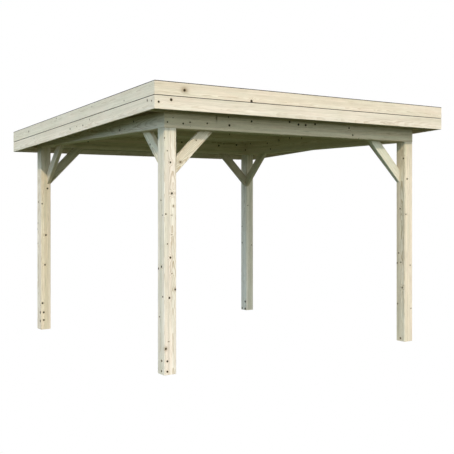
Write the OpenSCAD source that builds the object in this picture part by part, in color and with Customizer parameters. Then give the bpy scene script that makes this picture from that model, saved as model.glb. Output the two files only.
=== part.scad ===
// Garden pergola: a square open timber frame under a flat board roof that falls a little to the back.
// Front is -Y, left is -X, the ground is Z = 0, and the origin is under the middle of the roof.

/* [Frame] */
// Width over the outer faces of the posts, left to right
frame_w = 3070; // [2000:10:4500]
// Depth over the outer faces of the posts, front to back
frame_d = 3070; // [2000:10:4500]
// Side of the square posts, which is also the thickness of the beams
post_w = 120; // [90:1:160]
// Height of the posts, from the ground to the underside of the beams
post_h = 2150; // [1800:10:2700]
// Height of the beams
beam_h = 140; // [100:1:240]
// Width of the small flat planed along the long edges of posts, beams and braces
edge_flat = 4; // [1:0.5:8]

/* [Braces] */
// Reach of a brace along the beam, and the same down the post
brace_reach = 435; // [300:5:700]
// Depth of a brace, square to its length
brace_w = 100; // [60:1:150]
// Thickness of a brace
brace_t = 45; // [28:1:70]

/* [Roof frame] */
// Overhang of the roof past the outer faces of the posts, on all four sides
overhang = 215; // [120:5:400]
// Fall of the roof from front to back, in degrees
fall = 3; // [1:0.1:6]
// Thickness of the purlins, which lie across the side beams
purlin_t = 45; // [28:1:80]
// Height of the lowest purlin, at its back face
purlin_low_h = 27; // [12:1:120]
// Thickness of the blocks that close the sides between the purlins
filler_t = 45; // [20:1:80]
// Thickness of the joists under the roof edge
edge_joist_t = 28; // [18:1:60]
// Height of the joists under the roof edge
edge_joist_h = 145; // [125:1:180]

/* [Roof boards] */
// Thickness of the tongue-and-groove boards
board_t = 18; // [15:0.5:28]
// Cover width that the boards come closest to
board_w = 121; // [80:1:200]
// Width of the open joint between two boards
board_joint = 1.5; // [1:0.1:4]
// Width of the bevel along the lower edges of a board
board_bevel = 3; // [1:0.5:5]
// Thickness of the tongue
tongue_t = 5; // [4:0.5:8]
// Length of the tongue
tongue_l = 7; // [5:0.5:12]
// Clearance of the tongue in its groove, on each side
tongue_fit = 0.5; // [0.3:0.1:1]
// Thickness of the roofing sheet
roofing_t = 2; // [1:0.5:6]

/* [Fascia] */
// Thickness of the fascia boards
fascia_t = 20; // [15:1:32]
// Height of one fascia board, of which two are one above the other
fascia_board_h = 115; // [90:1:160]
// Width of the open joint between the upper and the lower board
fascia_joint = 3; // [1:0.5:6]
// Width of the bevel along the long edges of a fascia board
fascia_bevel = 2; // [1:0.5:6]
// Height of the front and side fascia above the roofing
rim_h = 10; // [4:1:30]
// Thickness of the edge trim, an angle over the top of the front and side fascia
trim_t = 5; // [2:0.5:8]
// Width of the bevel along the top edges of the edge trim
trim_bevel = 1; // [0.4:0.1:2]

/* [Hidden] */

// Half sizes, because everything is laid out from the middle
frame_x = frame_w / 2;
frame_y = frame_d / 2;
roof_x = frame_x + overhang;
roof_y = frame_y + overhang;
fascia_in_x = roof_x - fascia_t;
fascia_in_y = roof_y - fascia_t;
joist_in_x = fascia_in_x - edge_joist_t;
joist_in_y = fascia_in_y - edge_joist_t;

// Five purlins: the front one is flush with the front beam's outer face,
// and the back one with the back beam's inner face
PURLINS = 5;
purlin_pitch = (frame_d - post_w) / (PURLINS - 1);
function purlin_y(i) = -frame_y + i * purlin_pitch;

// The roof plane is the underside of the boards; it falls along +Y and meets the lowest purlin's back edge
beam_top = post_h + beam_h;
fall_rate = tan(fall);
fall_cos = cos(fall);
function roof_z(y) = beam_top + purlin_low_h + (purlin_y(PURLINS - 1) + purlin_t - y) * fall_rate;

// Heights straight up from the roof plane
boards_up = board_t / fall_cos;
roofing_up = (board_t + roofing_t) / fall_cos;
fascia_up = roofing_up + rim_h;

// The boards share the width between the side fascias equally
boards_w = 2 * fascia_in_x;
board_count = round(boards_w / board_w);
board_pitch = boards_w / board_count;

// Lengths that only have to pass right through what cuts them
far = 2 * (roof_x + roof_y);

// ---------- shared shapes ----------

// A section from the origin to [x, y] with a small flat across each of its four corners
module planed_section(x, y, flat) {
    polygon([
        [flat, 0], [x - flat, 0], [x, flat], [x, y - flat],
        [x - flat, y], [flat, y], [0, y - flat], [0, flat]
    ]);
}

// A planed bar along +X, its section from the origin to [y, z]
module planed_bar(length, y, z, flat) {
    rotate([90, 0, 90]) linear_extrude(length) planed_section(y, z, flat);
}

// A room in plan that keeps the front one of four pieces mitred round a rectangle of half sizes x and y
module mitre_room(x, y, thickness) {
    linear_extrude(far)
        polygon([[-x, -y], [x, -y], [x - thickness, -y + thickness], [-x + thickness, -y + thickness]]);
}

// Swaps X and Y, which turns a front piece into its left one
module as_left() {
    mirror([1, -1, 0]) children();
}

// Lays children, made on the plane Z = 0, on the falling roof plane
module on_roof_plane() {
    translate([0, 0, roof_z(0)]) rotate([-fall, 0, 0]) children();
}

// A piece along X with its top on the roof plane and its foot level, or falling with the roof
module under_roof_plane(half, y, thickness, foot_front, foot_back) {
    translate([-half, 0, 0]) rotate([90, 0, 90])
        linear_extrude(2 * half)
            polygon([
                [y, foot_front], [y + thickness, foot_back],
                [y + thickness, roof_z(y + thickness)], [y, roof_z(y)]
            ]);
}

// ---------- frame ----------

// The front left post; its outer faces are the outer faces of the frame
module post() {
    color("burlywood")
        translate([-frame_x, -frame_y, 0]) linear_extrude(post_h) planed_section(post_w, post_w, edge_flat);
}

// A beam along the front at half sizes x and y, mitred over half of each post top
module beam(x, y) {
    color("burlywood")
        intersection() {
            translate([-x, -y, post_h]) planed_bar(2 * x, post_w, beam_h, edge_flat);
            translate([0, 0, post_h]) mitre_room(x, y, post_w);
        }
}

// A 45 degree brace in the corner of post and beam: it starts at the post's face and the beam's underside
module brace_blank() {
    bar_l = 2 * brace_reach;
    intersection() {
        translate([brace_reach, 0, 0])
            rotate([0, 135, 0])
                translate([-brace_w, 0, -brace_w])
                    planed_bar(bar_l + brace_w, brace_t, brace_w, edge_flat);
        translate([0, 0, -far]) cube([far, brace_t, far]);
    }
}

// The brace of the front left post under a beam along X at half sizes x and y, flush with the inner faces
module brace(x, y) {
    color("burlywood")
        translate([-x + post_w, -y + post_w - brace_t, post_h]) brace_blank();
}

// ---------- roof frame ----------

// Purlin number i from the front, standing on the side beams, its top planed to the fall
module purlin(i) {
    color("tan")
        under_roof_plane(joist_in_x, purlin_y(i), purlin_t, beam_top, beam_top);
}

// The blocks on the left beam that fill the gaps between the purlins, flush with the beam's inner face
module filler_blocks() {
    color("tan")
        for (i = [0 : PURLINS - 2])
            translate([-frame_x + post_w - filler_t / 2, 0, 0])
                under_roof_plane(
                    filler_t / 2, purlin_y(i) + purlin_t, purlin_pitch - purlin_t, beam_top, beam_top
                );
}

// The joist behind the front or back fascia, between the side joists
module edge_joist_cross(y) {
    foot = edge_joist_h / fall_cos;
    color("tan")
        under_roof_plane(joist_in_x, y, edge_joist_t, roof_z(y) - foot, roof_z(y + edge_joist_t) - foot);
}

// The joist behind the left fascia, falling with the roof and cut plumb at both ends
module edge_joist_side() {
    color("tan")
        intersection() {
            on_roof_plane()
                translate([-fascia_in_x, -far / 2, -edge_joist_h]) cube([edge_joist_t, far, edge_joist_h]);
            translate([-roof_x, -fascia_in_y, 0]) cube([2 * roof_x, 2 * fascia_in_y, far]);
        }
}

// ---------- roof boards ----------

// Section of one board, x across it and y up: bevelled below, groove on its left edge, tongue on its right
module board_section(has_groove, has_tongue) {
    face_w = board_pitch - board_joint;
    low = (board_t - tongue_t) / 2;
    high = low + tongue_t;
    groove_l = tongue_l - board_joint + tongue_fit;
    tongue = has_tongue ? [
        [face_w, low], [face_w + tongue_l, low],
        [face_w + tongue_l, high], [face_w, high]
    ] : [];
    groove = has_groove ? [
        [0, high + tongue_fit], [groove_l, high + tongue_fit],
        [groove_l, low - tongue_fit], [0, low - tongue_fit]
    ] : [];
    polygon(concat(
        [[board_bevel, 0], [face_w - board_bevel, 0], [face_w, board_bevel]],
        tongue,
        [[face_w, board_t], [0, board_t]],
        groove,
        [[0, board_bevel]]
    ));
}

// Every second board, starting with number first, laid down the fall and cut plumb behind the fascia
module roof_boards(first) {
    color("wheat")
        intersection() {
            on_roof_plane()
                for (i = [first : 2 : board_count - 1])
                    translate([-fascia_in_x + i * board_pitch + board_joint / 2, far / 2, 0])
                        rotate([90, 0, 0])
                            linear_extrude(far) board_section(i > 0, i < board_count - 1);
            translate([-roof_x, -fascia_in_y, 0]) cube([2 * roof_x, 2 * fascia_in_y, far]);
        }
}

// The sheet over the boards; it stops at the fascia in front and at the sides and covers the back fascia
module roofing_sheet() {
    color("dimgray")
        intersection() {
            on_roof_plane()
                translate([-fascia_in_x, -far / 2, board_t]) cube([2 * fascia_in_x, far, roofing_t]);
            translate([-roof_x, -fascia_in_y, 0]) cube([2 * roof_x, fascia_in_y + roof_y, far]);
        }
}

// ---------- fascia ----------

// Heights of a fascia board's top and foot above the roof plane, straight up; row 0 is the upper board
function fascia_top(row) = fascia_up - row * (fascia_board_h + fascia_joint);
function fascia_foot(row) = fascia_top(row) - fascia_board_h;

// A level board across the front of half sizes x and y, between two heights, mitred at both ends
module fascia_cross(x, y, foot, top) {
    color("wheat")
        intersection() {
            translate([-x, -y, foot]) planed_bar(2 * x, fascia_t, top - foot, fascia_bevel);
            mitre_room(x, y, fascia_t);
        }
}

// The left board of a row: it falls with the roof, and its ends are mitred and plumb
module fascia_side(row) {
    color("wheat")
        intersection() {
            on_roof_plane()
                translate([-roof_x, -far / 2, fascia_foot(row) * fall_cos])
                    rotate([0, 0, 90]) mirror([0, 1, 0])
                        planed_bar(far, fascia_t, fascia_board_h * fall_cos, fascia_bevel);
            as_left() mitre_room(roof_y, roof_x, fascia_t);
        }
}

module fascia_front(row) {
    z = roof_z(-roof_y);
    fascia_cross(roof_x, roof_y, z + fascia_foot(row), z + fascia_top(row));
}

// The upper back board is ripped down so that water runs off over it
module fascia_back(row) {
    z = roof_z(roof_y);
    top = row == 0 ? boards_up : fascia_top(row);
    mirror([0, 1, 0]) fascia_cross(roof_x, roof_y, z + fascia_foot(row), z + top);
}

// ---------- edge trim ----------

// A trim along +X: it lies on the fascia's top edge, and its leg drops behind it to the roofing
module trim_bar(length, drop) {
    back = fascia_t + trim_t;
    rotate([90, 0, 90]) linear_extrude(length)
        polygon([
            [0, 0], [fascia_t, 0], [fascia_t, -drop], [back, -drop],
            [back, trim_t - trim_bevel], [back - trim_bevel, trim_t],
            [trim_bevel, trim_t], [0, trim_t - trim_bevel]
        ]);
}

// The level trim on the front fascia
module edge_trim_front() {
    top = roof_z(-roof_y) + fascia_up;
    color("dimgray")
        intersection() {
            translate([-roof_x, -roof_y, top])
                trim_bar(2 * roof_x, top - roof_z(-fascia_in_y) - roofing_up);
            mitre_room(roof_x, roof_y, fascia_t + trim_t);
        }
}

// The trim on the left fascia, which falls with the roof
module edge_trim_side() {
    color("dimgray")
        intersection() {
            on_roof_plane()
                translate([-roof_x, -far / 2, fascia_up * fall_cos])
                    rotate([0, 0, 90]) mirror([0, 1, 0]) trim_bar(far, rim_h * fall_cos);
            as_left() mitre_room(roof_y, roof_x, fascia_t + trim_t);
        }
}

// ---------- the pergola ----------

module to_right() { mirror([1, 0, 0]) children(); }
module to_back() { mirror([0, 1, 0]) children(); }

post();  // post_front_left
to_right() post();  // post_front_right
to_back() post();  // post_back_left
to_right() to_back() post();  // post_back_right

beam(frame_x, frame_y);  // beam_front
to_back() beam(frame_x, frame_y);  // beam_back
as_left() beam(frame_y, frame_x);  // beam_left
to_right() as_left() beam(frame_y, frame_x);  // beam_right

brace(frame_x, frame_y);  // brace_front_left
to_right() brace(frame_x, frame_y);  // brace_front_right
to_back() brace(frame_x, frame_y);  // brace_back_left
to_right() to_back() brace(frame_x, frame_y);  // brace_back_right
as_left() brace(frame_y, frame_x);  // brace_left_front
to_back() as_left() brace(frame_y, frame_x);  // brace_left_back
to_right() as_left() brace(frame_y, frame_x);  // brace_right_front
to_right() to_back() as_left() brace(frame_y, frame_x);  // brace_right_back

purlin(0);  // purlin_front
purlin(1);  // purlin_front_middle
purlin(2);  // purlin_middle
purlin(3);  // purlin_back_middle
purlin(4);  // purlin_back
filler_blocks();  // filler_blocks_left
to_right() filler_blocks();  // filler_blocks_right

edge_joist_cross(-fascia_in_y);  // edge_joist_front
edge_joist_cross(joist_in_y);  // edge_joist_back
edge_joist_side();  // edge_joist_left
to_right() edge_joist_side();  // edge_joist_right

roof_boards(0);  // roof_boards_odd
roof_boards(1);  // roof_boards_even
roofing_sheet();

fascia_front(0);  // fascia_front_upper
fascia_front(1);  // fascia_front_lower
fascia_back(0);  // fascia_back_upper
fascia_back(1);  // fascia_back_lower
fascia_side(0);  // fascia_left_upper
fascia_side(1);  // fascia_left_lower
to_right() fascia_side(0);  // fascia_right_upper
to_right() fascia_side(1);  // fascia_right_lower

edge_trim_front();
edge_trim_side();  // edge_trim_left
to_right() edge_trim_side();  // edge_trim_right
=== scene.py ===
"""Garden pergola in planed spruce: the finishes, the roofing, the screws, the daylight and the camera."""
import math

import bpy
import numpy as np
from mathutils import Matrix, Vector


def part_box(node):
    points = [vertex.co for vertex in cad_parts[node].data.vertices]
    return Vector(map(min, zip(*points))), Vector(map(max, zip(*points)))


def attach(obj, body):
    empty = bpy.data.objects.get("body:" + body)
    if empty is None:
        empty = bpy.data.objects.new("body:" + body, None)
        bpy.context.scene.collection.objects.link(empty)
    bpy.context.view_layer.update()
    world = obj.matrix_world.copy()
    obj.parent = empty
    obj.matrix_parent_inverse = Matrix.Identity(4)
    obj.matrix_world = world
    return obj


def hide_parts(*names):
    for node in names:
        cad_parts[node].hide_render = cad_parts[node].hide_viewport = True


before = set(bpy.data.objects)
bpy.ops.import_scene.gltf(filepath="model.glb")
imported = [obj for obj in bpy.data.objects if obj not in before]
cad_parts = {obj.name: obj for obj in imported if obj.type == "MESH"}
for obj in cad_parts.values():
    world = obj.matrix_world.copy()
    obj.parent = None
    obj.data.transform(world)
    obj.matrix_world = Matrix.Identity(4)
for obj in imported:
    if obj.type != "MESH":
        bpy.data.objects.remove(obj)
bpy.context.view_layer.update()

# ---------- light and camera, in metres and degrees ----------

CAMERA_PLACE = (-4.919, -7.553, 1.518)
CAMERA_HEADING = 33.86          # to the right of straight towards the back
CAMERA_LENS = 62.96             # focal length over a sensor of CAMERA_SENSOR, both in millimetres
CAMERA_SENSOR = 36.0
CAMERA_RISE = -0.0584           # lens shift that keeps the uprights upright
CAMERA_REACH = 500.0
SUN_TRAVEL = (0.87, 1.351, -1.0)
SUN_STRENGTH = 2.0
SUN_COLOUR = (1.0, 0.92, 0.74)
SUN_ANGLE = 1.6
SKY = {                         # colours of the sky's four sides
    "front": (1.52, 1.72, 1.62),
    "left": (0.96, 1.42, 1.76),
    "back": (1.20, 1.16, 1.06),
    "right": (1.32, 1.33, 1.22),
}
SKY_TOP = (1.29, 1.24, 2.1)
GROUND_GLOW = (0.096, 0.122, 0.061)
HORIZON = 0.06                  # how far down from level the sky fades into the ground, as a sine
WHITE = (1.0, 1.0, 1.0)
FLOOR_REACH = 200.0

# ---------- spruce, colours as linear light ----------

EARLY_WOOD = (0.73, 0.645, 0.505)
LATE_WOOD = (0.51, 0.40, 0.265)
KNOT_WOOD = (0.050, 0.032, 0.010)
KNOT_BARK = (0.020, 0.013, 0.005)
KNOT_HALO = (0.56, 0.40, 0.235)
LIVE_KNOT = (0.19, 0.12, 0.05)
# colour of the painted shade on board edges that lie in a joint
JOINT_SHADE = (0.050, 0.040, 0.028)
PLANED = (1.0, 1.0, 1.0)        # hue of planed wood, as shares of red, green and blue
SAWN_SHADED = (0.61, 0.58, 0.54)       # hue of sawn joists, darker than planed wood as painted shade for the joints between the fascia boards in front of them and under the roof

# ---------- growth of the logs, in metres ----------

LOG_LENGTH = 40.0               # length of log from which a board's own stretch is drawn
RING_WIDTH = 0.0044
TAPER = 0.014                   # how much thinner a log gets in each metre of its height
RING_SWAY = 0.014               # how far the rings sway and ripple along a log
RING_RIPPLE = 0.003
HEART_ASIDE = 0.075             # range of the heart's place across a board
HEART_DEPTH = 0.05              # range of the heart's depth under a board
WANDER_ASIDE = 0.06             # how far the heart wanders along a log, across the board and under it
WANDER_DEPTH = 0.03
HEART_REACH = 0.075             # distance from the heart at which knot sizes and spacings hold
KNOT_ROUND = 0.085              # spacing of a log's own knots round it
KNOT_ALONG = 0.21               # spacing of a log's own knots along it
KNOT_RADIUS = 0.0055
KNOT_DEPTH = 0.030              # how deep a placed knot runs in from its face
NO_KNOT = 100.0                 # a distance in knot radii at which no knot shows
NO_CELL = 50.0                  # a cell so large that a piece lies in one
POST_LAMELLAS = 3
BEAM_LAMELLAS = 4
GRAIN_BUMP = 0.00022            # height of the grain that stands out of a planed face

# ---------- roofing sheet, trim and screws, in metres ----------

RUBBER = (0.016, 0.0155, 0.0125)
RUBBER_DUST = (0.062, 0.058, 0.045)
RUBBER_GRAIN = 0.0002           # height of its grain
LOW_EDGE = 0.5                  # how far up the roof from its low edge more dust lies
TRIM_BLACK = (0.018, 0.016, 0.012)
TRIM_DUST = (0.040, 0.036, 0.028)
TRIM_GRAIN = 0.0001
ZINC = (0.50, 0.46, 0.37)
ZINC_DULLED = (0.30, 0.29, 0.26)
SHEET_COLUMNS = 290
SHEET_ROWS = 116
SHEET_HELD = 0.03               # width along the edges in which the sheet lies flat
BOARD_CROWN = 0.0005            # how far the sheet stands up over the middle of a board
CREASES = 26
CREASE_SEED = 7
CREASE_SPREAD = 0.35            # spread of the creases' headings off the fall, in radians
CREASE_LEAST = (0.0008, 0.014, 0.15)    # height, width and length of the slightest crease
CREASE_MOST = (0.0024, 0.035, 0.60)     # and of the strongest
CREASE_BEND = 0.012             # how far a crease winds to either side of its line
CREASE_WINDING = (3.0, 9.0)     # least and most radians of winding to a metre
HEAD_SIDES = 24
STAR_POINTS = 6
HEAD_RINGS = [                  # radius, height over the wood, depth of the star
    (0.0045, -0.0005, 0.0),
    (0.0045, 0.0001, 0.0),
    (0.0042, 0.0004, 0.0),
    (0.0023, 0.0004, 0.12),
    (0.0021, 0.0001, 0.12),
]
SCREW_PLACES = [                # from the brace's end, and to either side of its middle line
    (0.060, -0.009),
    (0.095, 0.009),
]


# ---------- shader arithmetic ----------

class Wire:
    """A number or vector on its way through a shader; + - * / on it add the node that works them out."""

    def __init__(self, tree, socket):
        self.tree = tree
        self.socket = socket

    def __add__(self, other):
        return calc("ADD", self, other)

    def __radd__(self, other):
        return calc("ADD", other, self)

    def __sub__(self, other):
        return calc("SUBTRACT", self, other)

    def __rsub__(self, other):
        return calc("SUBTRACT", other, self)

    def __mul__(self, other):
        return calc("MULTIPLY", self, other)

    def __rmul__(self, other):
        return calc("MULTIPLY", other, self)

    def __truediv__(self, other):
        return calc("DIVIDE", self, other)

    def __rtruediv__(self, other):
        return calc("DIVIDE", other, self)


def plug(socket, value):
    """Joins a wire to a socket, or sets the socket to a plain value."""
    if isinstance(value, Wire):
        value.tree.links.new(value.socket, socket)
    else:
        socket.default_value = value


def node(tree, kind, inputs=None, output=0, **settings):
    """Adds one shader node with its settings and inputs, and returns one of its outputs as a wire."""
    made = tree.nodes.new("ShaderNode" + kind)
    for name, value in settings.items():
        setattr(made, name, value)
    for name, value in (inputs or {}).items():
        plug(made.inputs[name], value)
    return Wire(tree, made.outputs[output])


def tree_of(values):
    """The node tree that the first wire among some values belongs to."""
    return next(v.tree for v in values if isinstance(v, Wire))


def calc(operation, *values):
    """One Math node."""
    return node(tree_of(values), "Math", dict(enumerate(values)), operation=operation)


def ramp(value, low, high, start=0.0, end=1.0):
    """Start where value is under low, end where it is over high, and an S curve between."""
    inputs = {0: value, 1: low, 2: high, 3: start, 4: end}
    return node(value.tree, "MapRange", inputs, interpolation_type="SMOOTHSTEP")


def bell(value, width):
    """One where value is nought, falling to either side as e to the minus square of value over width."""
    return calc("POWER", math.e, value * value * (-1.0 / width ** 2))


def vector(tree, x, y, z):
    """One vector of three numbers."""
    return node(tree, "CombineXYZ", {0: x, 1: y, 2: z})


def parts(wire):
    """The three numbers of a vector."""
    split = wire.tree.nodes.new("ShaderNodeSeparateXYZ")
    plug(split.inputs[0], wire)
    return [Wire(wire.tree, out) for out in split.outputs]


def place_in(tree):
    """The three coordinates of a place in the pergola, in metres."""
    return parts(node(tree, "TexCoord", output="Object"))


def noise(tree, x, y, z, detail=2.0, rough=0.5):
    """Smooth noise from minus to plus a half, at coordinates that are already scaled."""
    inputs = {"Vector": vector(tree, x, y, z), "Scale": 1.0, "Detail": detail, "Roughness": rough}
    return node(tree, "TexNoise", inputs, noise_dimensions="3D") - 0.5


def draw(tree, x, y, z):
    """Three random numbers from nought to one that belong to three given ones."""
    return parts(node(tree, "TexWhiteNoise", {"Vector": vector(tree, x, y, z)}, output="Color"))


def bump(tree, strength, distance, height):
    """The direction a surface faces where small heights stand out of it by a distance in metres."""
    inputs = {"Strength": strength, "Distance": distance, "Height": height}
    return node(tree, "Bump", inputs, output="Normal")


def blend(factor, a, b, way="MIX"):
    """Two colours mixed by a factor: the first at nought, and at one the second or their product."""
    tree = tree_of([factor, a, b])
    mix = tree.nodes.new("ShaderNodeMix")
    mix.data_type = "RGBA"
    mix.blend_type = way
    for socket, value in zip((mix.inputs[0], mix.inputs[6], mix.inputs[7]), (factor, a, b)):
        plug(socket, value if isinstance(value, (Wire, float)) else (*value, 1.0))
    return Wire(tree, mix.outputs[2])


def group_inputs(tree, names):
    """Makes the inputs of a node group, given by name and kind, and returns them as wires."""
    for name, kind in names.items():
        tree.interface.new_socket(name, in_out="INPUT", socket_type="NodeSocket" + kind)
    source = tree.nodes.new("NodeGroupInput")
    return [Wire(tree, source.outputs[name]) for name in names]


def group_outputs(tree, wires):
    """Makes the outputs of a node group, given by name, kind and wire."""
    for name, (kind, _) in wires.items():
        tree.interface.new_socket(name, in_out="OUTPUT", socket_type="NodeSocket" + kind)
    sink = tree.nodes.new("NodeGroupOutput")
    for name, (_, wire) in wires.items():
        plug(sink.inputs[name], wire)


def bare_material(name):
    """A new material, its node tree and the shader that it starts with."""
    made = bpy.data.materials.new(name)
    made.use_nodes = True
    return made, made.node_tree, made.node_tree.nodes["Principled BSDF"]


# ---------- the wood itself ----------

def own_knots(tree, turn, along, from_heart, start, share):
    """Distance to the nearest of a log's own knots in knot radii, and how dark that knot's rim is.

    A knot is a branch that runs straight out from the heart, so it is round in the turn about the heart
    and the height along the log. Knots are scattered, one to each KNOT_ROUND by KNOT_ALONG, and a knot
    that draws more than share doesn't show.
    """
    round_log = turn / KNOT_ROUND + start * 20.0
    up_log = along / KNOT_ALONG
    scatter = tree.nodes.new("ShaderNodeTexVoronoi")
    scatter.voronoi_dimensions = "2D"
    scatter.inputs["Scale"].default_value = 1.0
    plug(scatter.inputs["Vector"], vector(tree, round_log, up_log, 0.0))
    knot_round, knot_up, _ = parts(Wire(tree, scatter.outputs["Position"]))
    chance, girth, darkness = parts(Wire(tree, scatter.outputs["Color"]))
    aside = (round_log - knot_round) * KNOT_ROUND
    above = (up_log - knot_up) * KNOT_ALONG * (HEART_REACH / from_heart)
    radius = KNOT_RADIUS * (0.45 + girth * 0.9)
    hidden = calc("GREATER_THAN", chance, share) * NO_KNOT
    return calc("SQRT", aside * aside + above * above) / radius + hidden, darkness


def late_wood(tree, x, y, along, from_heart, shift, knot):
    """How brown a place is with the late wood of its growth ring, from nought to one.

    A ring's number is (distance from the heart + TAPER * along + sway and ripple) / RING_WIDTH, and round
    knots the rings are pushed aside. A ring is pale where it starts and brown where it ends, some rings
    more than others.
    """
    sway = noise(tree, along * 3.0, x * 12.0, y * 12.0 + shift * 30.0)
    ripple = noise(tree, along * 20.0, x * 45.0, y * 45.0 + shift * 30.0, detail=1.0)
    uneven = noise(tree, from_heart * 38.0, shift * 50.0, 0.0, detail=1.0)
    number = (from_heart + along * TAPER + sway * RING_SWAY + ripple * RING_RIPPLE) / RING_WIDTH
    number = number + uneven * 4.0 + bell(knot, 2.6) * 2.6
    ring = calc("FRACT", number)
    bold = noise(tree, calc("FLOOR", number) * 0.37, shift * 50.0, 3.0, detail=0.0)
    return ramp(ring, 0.35, 0.92) * ramp(ring, 0.95, 1.0, 1.0, 0.0) * ramp(bold, -0.25, 0.25, 0.35, 1.0)


def spruce_group():
    """Planed spruce as a solid, worked out at every place of a piece.

    Place is in metres: x across the board, y out of its face, z along the grain. A board or lamella is
    the cell floor(x / cell x + 1/2), floor(y / cell y + 1/2), and it draws its own heart, shift along the
    log and tone. From those come the distance from the heart and the turn about it, and from these the
    knots and rings.
    """
    tree = bpy.data.node_groups.new("spruce", "ShaderNodeTree")
    place, seed, cell_x, cell_y, heart, placed, live, share, end, tint, figure, dust = group_inputs(
        tree, {"Place": "Vector", "Seed": "Float", "Cell X": "Float", "Cell Y": "Float", "Heart": "Float",
               "Placed Knot": "Float", "Live Knot": "Float", "Knot Share": "Float", "End": "Float",
               "Tint": "Vector", "Figure": "Float", "Joint Shade": "Float"})
    x, y, z = parts(place)

    # Which board or lamella, and its own random numbers
    column = calc("FLOOR", x / cell_x + 0.5)
    row = calc("FLOOR", y / cell_y + 0.5)
    heart_x, heart_y, shift = draw(tree, column, row, seed)
    flip, tone, hue = draw(tree, row + 7.3, seed, column)

    # Place measured from the heart of the log, which wanders a little along its length
    side = calc("SIGN", flip - 0.5)
    along = z + shift * LOG_LENGTH
    wander = noise(tree, along * 0.7, heart_x * 9.0, seed, detail=1.0)
    across = x - column * cell_x + (heart_x - 0.5) * HEART_ASIDE + wander * WANDER_ASIDE
    out = (y - row * cell_y) * side + heart + (heart_y - 0.5) * HEART_DEPTH + wander * WANDER_DEPTH
    from_heart = calc("SQRT", across * across + out * out)
    turn = calc("ARCTAN2", across, out) * HEART_REACH

    # The nearest knot, with a ragged rim, and the growth rings round it
    own_knot, darkness = own_knots(tree, turn, along, from_heart, heart_y, share)
    ragged = noise(tree, x * 170.0, y * 170.0, along * 170.0, detail=1.0)
    knot = calc("MINIMUM", own_knot, placed) + ragged * 0.45
    late = late_wood(tree, x, y, along, from_heart, shift, knot)

    # Streaks, fibres and clouds, as so many to a metre: fewer along the grain, so longer that way
    streak = noise(tree, x * 75.0, y * 75.0, along * 0.7, detail=3.0, rough=0.65)
    band = noise(tree, x * 26.0, y * 26.0, along * 0.4 + 5.0)
    dapple = noise(tree, x * 42.0, y * 42.0, along * 8.0)
    cloud = noise(tree, x * 6.0, y * 6.0, along * 2.2 + seed)
    fibre = noise(tree, x * 900.0, y * 900.0, along * 14.0)
    dash = ramp(noise(tree, x * 260.0, y * 260.0, along * 9.0, detail=1.0), 0.17, 0.27)
    stroke = ramp(noise(tree, x * 85.0, y * 85.0, along * 6.5 + 9.0, detail=1.0), 0.10, 0.24)
    warmth = noise(tree, x * 13.0, y * 13.0, along * 2.6 + seed * 3.0, detail=1.0)

    wood = blend(late * figure, EARLY_WOOD, LATE_WOOD)
    grain = streak * 0.56 + band * 0.34 + dapple * 0.24 - dash * 0.14 - stroke * 0.15
    light = 1.0 + grain * figure + cloud * 0.18 + fibre * 0.16 + (tone - 0.5) * 0.08
    red = 1.0 + warmth * 0.06
    green = 1.0 + (hue - 0.5) * 0.02 - warmth * 0.05 - stroke * 0.02
    blue = 1.0 + (tone - 0.5) * 0.08 + streak * 0.14 + cloud * 0.08 - warmth * 0.05 - stroke * 0.06
    wood = blend(1.0, wood, vector(tree, light * red, light * green, light * blue), "MULTIPLY")
    wood = blend(1.0, wood, tint, "MULTIPLY")

    # Knots: browner wood round them, a dark rim, and rings of their own inside
    stain = bell(live + ragged * 0.6, 0.8) * 0.8
    wood = blend(stain, wood, LIVE_KNOT)
    wood = blend(bell(knot, 1.6) * 0.35, wood, KNOT_HALO)
    heartwood = blend(calc("SINE", knot * 17.0) * 0.25 + 0.25, KNOT_WOOD, KNOT_BARK)
    wood = blend(ramp(knot, 0.88, 1.12, 1.0, 0.0), wood, heartwood)
    wood = blend(bell(knot - 0.95, 0.16) * (0.35 + darkness * 0.6), wood, KNOT_BARK)

    # Sawn ends are browner, and board edges in a joint are darkened with painted shade
    wood = blend(end * 0.35, wood, LATE_WOOD)
    wood = blend(dust * 0.8, wood, JOINT_SHADE)

    # Hard late wood and knots are smoother and stand up a little, and a groove runs round each knot
    rough = 0.60 + fibre * 0.10 - late * 0.08 - ramp(knot, 0.9, 1.2, 0.12, 0.0) + end * 0.15
    groove = bell(knot - 1.0, 0.12) * 1.6
    height = late * 0.5 + fibre * 0.9 + streak * 0.3 - groove + ramp(knot, 0.8, 1.1, 0.6, 0.0)
    group_outputs(tree, {
        "Colour": ("Color", wood),
        "Roughness": ("Float", rough),
        "Height": ("Float", height)})
    return tree


SPRUCE = spruce_group()


def knot_distance(tree, point, knots):
    """The least length of (point - centre) / half sizes, which is 1 at the rim of an ellipsoid knot."""
    nearest = NO_KNOT
    for centre, half_sizes in knots:
        scale = Vector([1.0 / half for half in half_sizes])
        shift = Vector([-at * by for at, by in zip(centre, scale)])
        from_knot = node(tree, "VectorMath", {0: point, 1: scale, 2: shift}, operation="MULTIPLY_ADD")
        away = node(tree, "VectorMath", {0: from_knot}, output="Value", operation="LENGTH")
        nearest = calc("MINIMUM", nearest, away)
    return nearest


def seed_of(name):
    """A number of a piece's own, from 0 to about 142, worked out from the letters of its name."""
    total = sum(ord(letter) * place for place, letter in enumerate(name, start=1))
    return total % 997 / 7.0


def facing(tree, direction):
    """How squarely the surface faces a direction: the cosine of the angle between them."""
    normal = node(tree, "TexCoord", output="Normal")
    return node(tree, "VectorMath", {0: normal, 1: direction}, output="Value", operation="DOT_PRODUCT")


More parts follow.
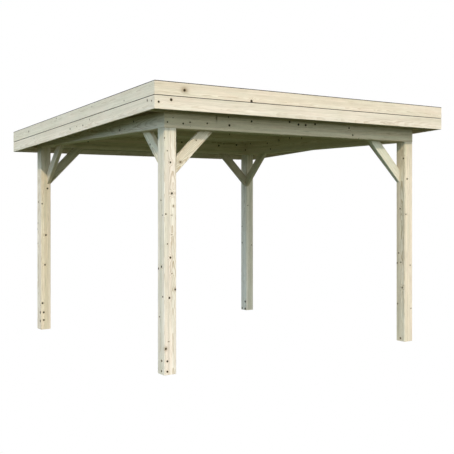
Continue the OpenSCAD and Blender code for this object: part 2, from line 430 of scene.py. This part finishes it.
def spruce(name, centre, directions, cell=(NO_CELL, NO_CELL), heart=0.055, share=0.4, tint=PLANED,
           figure=1.0, dusty=(), knots=(), live=()):
    """One piece's spruce; directions are across, out of and along its boards.

    cell is the size of one board or lamella across and out of the face, heart the distance from its
    middle to the heart of the log, and share the part of the log's own knots that show. tint is the log's
    own hue with painted light and shade mixed in, figure the strength of its grain, and dusty the
    board edges that lie in a joint, which are darkened with painted shade, +1 for the far and -1 for the
    near one across the board. knots and live are the dark knots and the stains of live ones that are
    placed one by one, as centres and half sizes.
    """
    across, _, grain = directions
    made, tree, skin = bare_material(name)
    point = node(tree, "TexCoord", output="Object")
    turn = Matrix(directions).transposed().to_euler()
    laid = {"Vector": point, "Location": centre, "Rotation": turn}
    # Painted shade on the board edges that lie in a joint, found by the way they face across the board
    dust = 0.0
    for edge in dusty:
        dust = ramp(facing(tree, across) * float(edge), 0.5, 0.65) + dust
    values = {
        "Place": node(tree, "Mapping", laid, vector_type="TEXTURE"),
        "Seed": seed_of(name),
        "Cell X": cell[0],
        "Cell Y": cell[1],
        "Heart": heart,
        "Placed Knot": knot_distance(tree, point, knots),
        "Live Knot": knot_distance(tree, point, live),
        "Knot Share": share,
        "End": ramp(calc("ABSOLUTE", facing(tree, grain)), 0.75, 0.95),
        "Tint": tint,
        "Figure": figure,
        "Joint Shade": dust}
    wood = tree.nodes.new("ShaderNodeGroup")
    wood.node_tree = SPRUCE
    for key, value in values.items():
        plug(wood.inputs[key], value)
    colour, roughness, height = [Wire(tree, out) for out in wood.outputs]
    skin.inputs["Specular IOR Level"].default_value = 0.22
    plug(skin.inputs["Base Color"], colour)
    plug(skin.inputs["Roughness"], roughness)
    plug(skin.inputs["Normal"], bump(tree, 0.55, GRAIN_BUMP, height))
    return made


# ---------- knots placed one by one, in metres -------

# On front faces: from the piece's left end, from the ground, radius
FRONT_KNOTS = {
    "post_front_left": [
        (0.0, 2.06, 0.006), (0.03, 1.95, 0.005), (0.06, 1.85, 0.008), (0.075, 1.58, 0.010),
        (0.09, 1.47, 0.004), (0.015, 1.40, 0.007), (0.075, 1.39, 0.004), (0.075, 1.22, 0.004),
        (0.03, 1.14, 0.006), (0.06, 1.02, 0.009), (0.075, 0.88, 0.005), (0.11, 0.74, 0.008),
        (0.05, 0.67, 0.009), (0.045, 0.29, 0.005), (0.015, 0.23, 0.009), (0.03, 0.12, 0.009),
        (0.03, 0.03, 0.009)],
    "beam_front": [
        (0.03, 2.20, 0.007), (0.19, 2.195, 0.008), (0.26, 2.21, 0.007), (0.44, 2.21, 0.008),
        (0.54, 2.265, 0.004), (0.67, 2.28, 0.006), (0.68, 2.205, 0.011), (0.93, 2.255, 0.009),
        (1.38, 2.275, 0.010), (1.49, 2.255, 0.011), (1.58, 2.255, 0.011), (1.70, 2.27, 0.010),
        (2.15, 2.255, 0.009), (2.20, 2.185, 0.009)],
    "fascia_front_upper": [(0.29, 2.455, 0.011), (0.99, 2.41, 0.012)],
    "fascia_front_lower": [(0.04, 2.34, 0.009), (0.16, 2.365, 0.012), (0.99, 2.41, 0.010)],
    "brace_front_left": [(0.25, 2.06, 0.006), (0.085, 1.86, 0.006)],
    "post_front_right": [(0.04, 1.75, 0.009), (0.02, 1.37, 0.008), (0.085, 0.82, 0.007)],
    "post_back_left": [
        (0.08, 1.66, 0.010), (0.015, 1.48, 0.008), (0.06, 1.11, 0.011), (0.05, 0.76, 0.010),
        (0.02, 0.31, 0.011), (0.035, 0.20, 0.011), (0.035, 0.11, 0.010)],
    "post_back_right": [(0.03, 1.45, 0.006), (0.095, 0.90, 0.007)],
    "beam_back": [
        (1.92, 2.28, 0.010), (2.50, 2.26, 0.012), (2.58, 2.29, 0.009), (2.79, 2.28, 0.011),
        (2.94, 2.215, 0.008)],
}
# Brown stains of live knots on front faces: from the left end, from the ground, half width, half height
LIVE_KNOTS = {
    "fascia_front_upper": [(0.29, 2.455, 0.044, 0.034)],
    "beam_front": [(0.54, 2.26, 0.011, 0.036)],
    "post_front_left": [
        (0.09, 1.47, 0.010, 0.016), (0.11, 0.74, 0.014, 0.020), (0.015, 0.23, 0.018, 0.026)],
    "brace_front_left": [(0.085, 1.86, 0.026, 0.018)],
}
# On left faces: from the piece's front end, from the ground, radius
LEFT_KNOTS = {
    "post_front_left": [
        (0.06, 1.52, 0.007), (0.035, 1.39, 0.005), (0.05, 0.94, 0.010), (0.105, 0.92, 0.009),
        (0.03, 0.68, 0.007), (0.085, 0.50, 0.007), (0.05, 0.12, 0.009), (0.05, 0.03, 0.009)],
    "beam_left": [(0.58, 2.25, 0.008), (0.87, 2.19, 0.010)],
    "brace_left_front": [(0.28, 2.03, 0.009)],
    "beam_right": [(2.46, 2.28, 0.010), (2.39, 2.20, 0.009)],
    "fascia_left_upper": [
        (2.98, 2.305, 0.010), (2.15, 2.385, 0.007), (0.56, 2.405, 0.006), (1.25, 2.42, 0.005)],
    "fascia_left_lower": [
        (2.81, 2.215, 0.006), (2.19, 2.29, 0.007), (1.78, 2.245, 0.009), (1.61, 2.255, 0.006),
        (1.46, 2.255, 0.009), (0.05, 2.35, 0.007)],
    "post_front_right": [
        (0.015, 1.97, 0.009), (0.065, 1.43, 0.008), (0.085, 0.95, 0.008), (0.11, 0.84, 0.009),
        (0.055, 0.85, 0.008), (0.035, 0.58, 0.009), (0.10, 0.40, 0.008), (0.06, 0.03, 0.010)],
    "post_back_left": [
        (0.08, 1.50, 0.009), (0.10, 1.25, 0.008), (0.10, 1.01, 0.008), (0.02, 0.20, 0.014),
        (0.02, 0.10, 0.014)],
    "post_back_right": [
        (0.095, 1.16, 0.008), (0.095, 0.93, 0.009), (0.02, 0.12, 0.014), (0.02, 0.02, 0.015),
        (0.09, 0.02, 0.010)],
}


def knot_depth(place, width, radius):
    """How deep a knot runs in: less near an edge of the face, so that it hardly shows round the edge."""
    return max(radius, min(KNOT_DEPTH, place, width - place))


def placed_knots(name):
    """Centres and half sizes of a piece's placed knots: a depth into the face and a radius along it."""
    low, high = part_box(name)
    knots = []
    for aside, height, radius in FRONT_KNOTS.get(name, []):
        depth = knot_depth(aside, high.x - low.x, radius)
        knots.append(((low.x + aside, low.y, height), (radius, depth, radius)))
    for aside, height, radius in LEFT_KNOTS.get(name, []):
        depth = knot_depth(aside, high.y - low.y, radius)
        knots.append(((low.x, low.y + aside, height), (depth, radius, radius)))
    return knots


def live_knots(name):
    """Centres and half sizes of a piece's live knots."""
    low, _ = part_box(name)
    return [((low.x + aside, low.y, height), (half_width, KNOT_DEPTH, half_height))
            for aside, height, half_width, half_height in LIVE_KNOTS.get(name, [])]


# ---------- which way each piece's boards run ----------

RIGHT, BACK, UP = Vector((1, 0, 0)), Vector((0, 1, 0)), Vector((0, 0, 1))


def fall_of_the_roof():
    """Directions down the roof and square off it, as the side trim's box is taller by the whole drop."""
    low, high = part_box("edge_trim_left")
    front_low, front_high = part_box("edge_trim_front")
    drop = (high.z - low.z) - (front_high.z - front_low.z)
    down = Vector((0, high.y - low.y, -drop)).normalized()
    return down, RIGHT.cross(down)


def width_of(name, axis):
    """A node's size along one axis."""
    low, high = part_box(name)
    return high[axis] - low[axis]


def roof_board_pitch():
    """Cover width of a roof board: odd and even boards take turns over the roof, and the first is odd."""
    first_odd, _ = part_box("roof_boards_odd")
    first_even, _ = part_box("roof_boards_even")
    return first_even.x - first_odd.x


DOWN_ROOF, OFF_ROOF = fall_of_the_roof()
POST_LAMELLA = width_of("post_front_left", 1) / POST_LAMELLAS
BEAM_LAMELLA = width_of("beam_front", 2) / BEAM_LAMELLAS
ROOF_BOARD = roof_board_pitch()

# Hues of single logs, as shares of red, green and blue, with painted light and shade mixed in that
# lightens or darkens some pieces as a whole
TINTS = {
    "post_front_left": (1.02, 1.04, 1.07),
    "post_front_right": (0.98, 0.97, 0.96),
    "post_back_left": (1.02, 1.0, 0.99),
    "post_back_right": (0.96, 1.0, 1.03),
    "beam_front": (0.98, 0.97, 0.94),
    "brace_front_right": (1.05, 1.12, 1.18),
    "brace_back_left": (0.83, 0.83, 0.80),
    "brace_back_right": (0.78, 0.77, 0.75),
    "brace_left_front": (1.17, 1.17, 1.18),
    "brace_left_back": (0.92, 0.87, 0.85),
    "brace_right_back": (0.86, 0.85, 0.80),
    "fascia_front_upper": (1.0, 0.98, 1.0),
    "fascia_front_lower": (0.95, 0.94, 0.94),
    "fascia_left_upper": (0.96, 0.97, 0.99),
    "fascia_left_lower": (0.99, 1.0, 1.0),
}


def cover(name, finish):
    """Gives a CAD piece one finish all over."""
    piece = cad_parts[name]
    piece.data.materials.clear()
    piece.data.materials.append(finish)


def timber(name, across, out, grain, tint=PLANED, **settings):
    """Gives a CAD piece its own spruce, laid out from its middle."""
    low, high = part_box(name)
    settings["tint"] = TINTS.get(name, tint)
    settings["knots"] = placed_knots(name)
    settings["live"] = live_knots(name)
    cover(name, spruce(name, (low + high) / 2, (across, out, grain), **settings))


def posts_and_beams():
    """Posts and front and back beams are glued from lamellas, and the side beams are solid."""
    post_cell = (NO_CELL, POST_LAMELLA)
    timber("post_front_left", RIGHT, BACK, UP, cell=post_cell, heart=0.045, share=0.0, figure=1.1)
    for corner in ("front_right", "back_left", "back_right"):
        timber("post_" + corner, BACK, RIGHT, UP, cell=post_cell, share=0.1, figure=1.25)
    for row in ("front", "back"):
        timber("beam_" + row, BACK, UP, RIGHT, cell=(NO_CELL, BEAM_LAMELLA), share=0.06, figure=1.2)
    for side in ("left", "right"):
        timber("beam_" + side, UP, RIGHT, BACK, share=0.0)


def braces():
    """Plain boards whose grain runs up at 45 degrees from post to beam."""
    for end, lean in (("left", 1), ("right", -1)):
        for row in ("front", "back"):
            grain = (UP + RIGHT * lean).normalized()
            timber(f"brace_{row}_{end}", (UP - RIGHT * lean).normalized(), BACK, grain, share=0.04)
    for end, lean in (("front", 1), ("back", -1)):
        for side in ("left", "right"):
            grain = (BACK * lean + UP).normalized()
            timber(f"brace_{side}_{end}", (BACK * lean - UP).normalized(), RIGHT, grain, share=0.2)


def roof_timber():
    """Purlins, blocks, joists and fascias are plain boards on edge; the roof boards run down the fall."""
    for name in sorted(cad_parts):
        # Board edges that get painted shade: both edges of an upper board, the top one under the trim,
        # and the top edge of a lower board
        joints = (1, -1) if name.endswith("upper") else (1,)
        if name.startswith("purlin"):
            timber(name, UP, BACK, RIGHT)
        if name.startswith("filler"):
            timber(name, UP, RIGHT, BACK)
        # The edge joists are darkened with painted shade, which shows through the joints between the
        # fascia boards
        if name in ("edge_joist_front", "edge_joist_back"):
            timber(name, UP, BACK, RIGHT, tint=SAWN_SHADED)
        if name in ("edge_joist_left", "edge_joist_right"):
            timber(name, UP, RIGHT, BACK, tint=SAWN_SHADED)
        if name.startswith("fascia_front"):
            timber(name, UP, BACK, RIGHT, heart=0.06, share=0.0, figure=0.65, dusty=joints)
        if name.startswith("fascia_back"):
            timber(name, UP, BACK, RIGHT, heart=0.06, share=0.05, figure=0.65, dusty=joints)
        if name.startswith(("fascia_left", "fascia_right")):
            timber(name, OFF_ROOF, RIGHT, DOWN_ROOF, heart=0.06, share=0.02, figure=0.6, dusty=joints)
        if name.startswith("roof_boards"):
            timber(name, RIGHT, OFF_ROOF, DOWN_ROOF, cell=(ROOF_BOARD, NO_CELL))


posts_and_beams()
braces()
roof_timber()


# ---------- roofing and edge trim ----------

def black_plastic():
    """Hard black plastic with a fine grain, a little dust on it and a dull shine."""
    made, tree, skin = bare_material("black_plastic")
    x, y, z = place_in(tree)
    dust = noise(tree, x * 3.0, y * 3.0, z * 20.0, detail=5.0, rough=0.6)
    grain = noise(tree, x * 1500.0, y * 1500.0, z * 1500.0, detail=1.0)
    plug(skin.inputs["Base Color"], blend(ramp(dust, -0.1, 0.25), TRIM_BLACK, TRIM_DUST))
    skin.inputs["Specular IOR Level"].default_value = 0.3
    plug(skin.inputs["Roughness"], 0.42 + dust * 0.3 + grain * 0.1)
    plug(skin.inputs["Normal"], bump(tree, 0.3, TRIM_GRAIN, grain))
    return made


def rubber():
    """Dark roofing rubber: clouds of dust, thicker at the low back edge, water marks and a fine grain."""
    made, tree, skin = bare_material("roofing_rubber")
    x, y, z = place_in(tree)
    _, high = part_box("roofing_sheet")
    cloud = noise(tree, x * 2.0, y * 2.0, z, detail=5.0, rough=0.6)
    marks = noise(tree, x * 5.0, y * 3.0, z + 4.0, detail=3.0)
    grain = noise(tree, x * 700.0, y * 700.0, z * 700.0, detail=1.0)
    silt = ramp(y, high.y - LOW_EDGE, high.y, 0.0, 0.3)
    dust = ramp(cloud + silt, -0.15, 0.35) + bell(marks - 0.08, 0.02) * 0.2
    plug(skin.inputs["Base Color"], blend(dust, RUBBER, RUBBER_DUST))
    skin.inputs["Specular IOR Level"].default_value = 0.25
    plug(skin.inputs["Roughness"], 0.60 + cloud * 0.25 + grain * 0.1)
    plug(skin.inputs["Normal"], bump(tree, 0.4, RUBBER_GRAIN, grain))
    return made


def zinc_steel():
    """Zinc-plated steel, a little yellow and dulled by weather."""
    made, tree, skin = bare_material("zinc_steel")
    x, y, z = place_in(tree)
    bloom = noise(tree, x * 600.0, y * 600.0, z * 600.0, detail=3.0)
    plug(skin.inputs["Base Color"], blend(ramp(bloom, -0.2, 0.3), ZINC, ZINC_DULLED))
    skin.inputs["Metallic"].default_value = 1.0
    plug(skin.inputs["Roughness"], 0.42 + bloom * 0.4)
    return made


def edge_trim():
    """The three lengths of black plastic angle along the top of the fascia."""
    plastic = black_plastic()
    for side in ("front", "left", "right"):
        cover("edge_trim_" + side, plastic)


def new_piece(name, places, faces, finish):
    """A piece of given points and faces with one finish, which moves with the pergola."""
    mesh = bpy.data.meshes.new(name)
    mesh.from_pydata(places.tolist(), [], faces)
    mesh.materials.append(finish)
    piece = bpy.data.objects.new(name, mesh)
    bpy.context.scene.collection.objects.link(piece)
    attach(piece, "root")
    return piece


def sheet_lift(x, y, low, high):
    """Height of the roofing sheet over its flat place on the boards.

    Over a board, u goes from 0 to 1 from joint to joint and the sheet crowns by BOARD_CROWN sin²(pi u).
    A crease is h exp(-(d / w)²) exp(-(s / l)²), for s along its line and the distance d from it, and the
    line winds by CREASE_BEND sin(k s). The sum is nought within SHEET_HELD of the four edges, where trims
    and glue hold the sheet down, and comes in over the next SHEET_HELD in an S curve.
    """
    lift = BOARD_CROWN * np.sin(math.pi * (x - low.x) / ROOF_BOARD) ** 2
    draws = np.random.default_rng(CREASE_SEED)
    for _ in range(CREASES):
        at_x = draws.uniform(low.x, high.x)
        at_y = draws.uniform(low.y, high.y)
        heading = draws.normal(0.0, CREASE_SPREAD)
        across = (x - at_x) * math.cos(heading) - (y - at_y) * math.sin(heading)
        along = (x - at_x) * math.sin(heading) + (y - at_y) * math.cos(heading)
        height, width, length = draws.uniform(CREASE_LEAST, CREASE_MOST)
        bend = CREASE_BEND * np.sin(along * draws.uniform(*CREASE_WINDING))
        lift = lift + height * np.exp(-((across + bend) / width) ** 2 - (along / length) ** 2)
    edge = np.minimum(np.minimum(x - low.x, high.x - x), np.minimum(y - low.y, high.y - y))
    held = np.clip((edge - SHEET_HELD) / SHEET_HELD, 0.0, 1.0)
    return lift * held * held * (3.0 - 2.0 * held)


def roofing_membrane():
    """The rubber sheet, as thick as the CAD one: z = front top - fall (y - front) + lift on a grid."""
    low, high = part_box("roofing_sheet")
    fall = -DOWN_ROOF.z / DOWN_ROOF.y
    thickness = (high.z - low.z) - fall * (high.y - low.y)
    columns = np.linspace(low.x, high.x, SHEET_COLUMNS)
    rows = np.linspace(low.y, high.y, SHEET_ROWS)
    x, y = np.meshgrid(columns, rows)
    z = high.z - fall * (y - low.y) + sheet_lift(x, y, low, high)
    places = np.stack([x, y, z], axis=-1).reshape(-1, 3)
    first = np.arange(SHEET_ROWS - 1)[:, None] * SHEET_COLUMNS + np.arange(SHEET_COLUMNS - 1)
    faces = first.reshape(-1, 1) + np.array([0, 1, SHEET_COLUMNS + 1, SHEET_COLUMNS])
    piece = new_piece("roofing_membrane", places, faces.tolist(), rubber())
    piece.data.polygons.foreach_set("use_smooth", np.ones(len(faces), bool))
    solid = piece.modifiers.new("thickness", "SOLIDIFY")
    solid.thickness = thickness * DOWN_ROOF.y
    solid.offset = -1.0
    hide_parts("roofing_sheet")


def screw_head():
    """Points and faces of one countersunk head about its axis, almost flush, with a star recess.

    Ring k lies at height h_k and radius r_k (1 + s_k cos 6a) for the angle a, from the foot round the rim
    to the recess floor, and both ends are closed by a fan on a middle point.
    """
    radius, height, star = (np.array(values)[:, None] for values in zip(*HEAD_RINGS))
    angle = np.linspace(0.0, 2 * math.pi, HEAD_SIDES, endpoint=False)
    reach = radius * (1.0 + star * np.cos(STAR_POINTS * angle))
    level = np.broadcast_to(height, reach.shape)
    rings = np.stack([reach * np.cos(angle), reach * np.sin(angle), level], axis=-1).reshape(-1, 3)
    middles = [(0, 0, height[0, 0]), (0, 0, height[-1, 0])]
    side = np.arange(HEAD_SIDES)
    after = (side + 1) % HEAD_SIDES
    faces = []
    for start in range(0, len(rings) - HEAD_SIDES, HEAD_SIDES):
        above = start + HEAD_SIDES
        faces += np.stack([start + side, start + after, above + after, above + side], axis=1).tolist()
    last = len(rings) - HEAD_SIDES
    foot, top = np.full(HEAD_SIDES, len(rings)), np.full(HEAD_SIDES, len(rings) + 1)
    faces += np.stack([after, side, foot], axis=1).tolist()
    faces += np.stack([last + side, last + after, top], axis=1).tolist()
    return np.vstack([rings, middles]), faces


def brace_screws():
    """Two screws at each end of every brace, square into its lower face, as one piece.

    That face runs from corner to corner of the brace's box, so its middle is the box's and its length is
    the height of the box times the square root of two.
    """
    head, head_faces = screw_head()
    places, faces = [], []
    for name in sorted(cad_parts):
        if not name.startswith("brace"):
            continue
        low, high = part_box(name)
        side, corner = name.split("_")[1:]
        level = RIGHT if side in ("front", "back") else BACK
        if corner in ("right", "back"):
            level = -level
        rise = (level + UP).normalized()
        out = (level - UP).normalized()
        wide = out.cross(rise)
        middle = (low + high) / 2
        length = (high.z - low.z) * math.sqrt(2)
        for from_end, aside in SCREW_PLACES:
            for end in (-1, 1):
                centre = middle + rise * (length / 2 - from_end) * end + wide * aside
                faces += [[point + len(places) * len(head) for point in face] for face in head_faces]
                places.append(np.array(centre) + head @ np.array([rise, wide, out]))
    new_piece("brace_screws", np.vstack(places), faces, zinc_steel())


edge_trim()
roofing_membrane()
brace_screws()


# ---------- floor, light and camera ----------

def floor():
    """A plain white floor: one square, seen by the camera but giving no light back to the timber."""
    corners = [(x * FLOOR_REACH, y * FLOOR_REACH, 0) for x, y in ((-1, -1), (1, -1), (1, 1), (-1, 1))]
    mesh = bpy.data.meshes.new("floor")
    mesh.from_pydata(corners, [], [(0, 1, 2, 3)])
    made, _, skin = bare_material("floor_white")
    skin.inputs["Base Color"].default_value = (0, 0, 0, 1)
    skin.inputs["Emission Color"].default_value = (*WHITE, 1)
    skin.inputs["Emission Strength"].default_value = 1.0
    skin.inputs["Roughness"].default_value = 1.0
    skin.inputs["Specular IOR Level"].default_value = 0.0
    mesh.materials.append(made)
    piece = bpy.data.objects.new("floor", mesh)
    bpy.context.scene.collection.objects.link(piece)
    piece.visible_diffuse = False
    piece.visible_glossy = False


def daylight():
    """One warm sun from the front left, under a soft sky over a dim ground; the camera sees it all white.

    In a direction x, y, z the sky's sides count by x² and y² over x² + y², all times 1 - z², and its top
    by z².
    """
    lamp = bpy.data.lights.new("sun", "SUN")
    lamp.energy = SUN_STRENGTH
    lamp.color = SUN_COLOUR
    lamp.angle = math.radians(SUN_ANGLE)
    sun = bpy.data.objects.new("sun", lamp)
    sun.rotation_euler = Vector(SUN_TRAVEL).to_track_quat("-Z", "Y").to_euler()
    bpy.context.scene.collection.objects.link(sun)
    world = bpy.data.worlds.new("sky")
    bpy.context.scene.world = world
    world.use_nodes = True
    tree = world.node_tree
    x, y, z = parts(node(tree, "TexCoord", output="Generated"))
    cross = blend(calc("GREATER_THAN", x, 0.0), SKY["left"], SKY["right"])
    deep = blend(calc("GREATER_THAN", y, 0.0), SKY["front"], SKY["back"])
    sides = blend(y * y / calc("MAXIMUM", x * x + y * y, 0.0001), cross, deep)
    sky = blend(z * z, sides, SKY_TOP)
    sky = blend(ramp(z, -HORIZON, 0.0), GROUND_GLOW, sky)
    seen = node(tree, "LightPath", output="Is Camera Ray")
    plug(tree.nodes["Background"].inputs["Color"], blend(seen, sky, WHITE))


def camera():
    """Level camera at the front left."""
    data = bpy.data.cameras.new("camera")
    data.lens = CAMERA_LENS
    data.sensor_width = CAMERA_SENSOR
    data.shift_y = CAMERA_RISE
    data.clip_end = CAMERA_REACH
    made = bpy.data.objects.new("camera", data)
    made.location = CAMERA_PLACE
    made.rotation_euler = (math.radians(90), 0, math.radians(-CAMERA_HEADING))
    bpy.context.scene.collection.objects.link(made)
    bpy.context.scene.camera = made


floor()
daylight()
camera()
bpy.context.scene.view_settings.view_transform = "Standard"
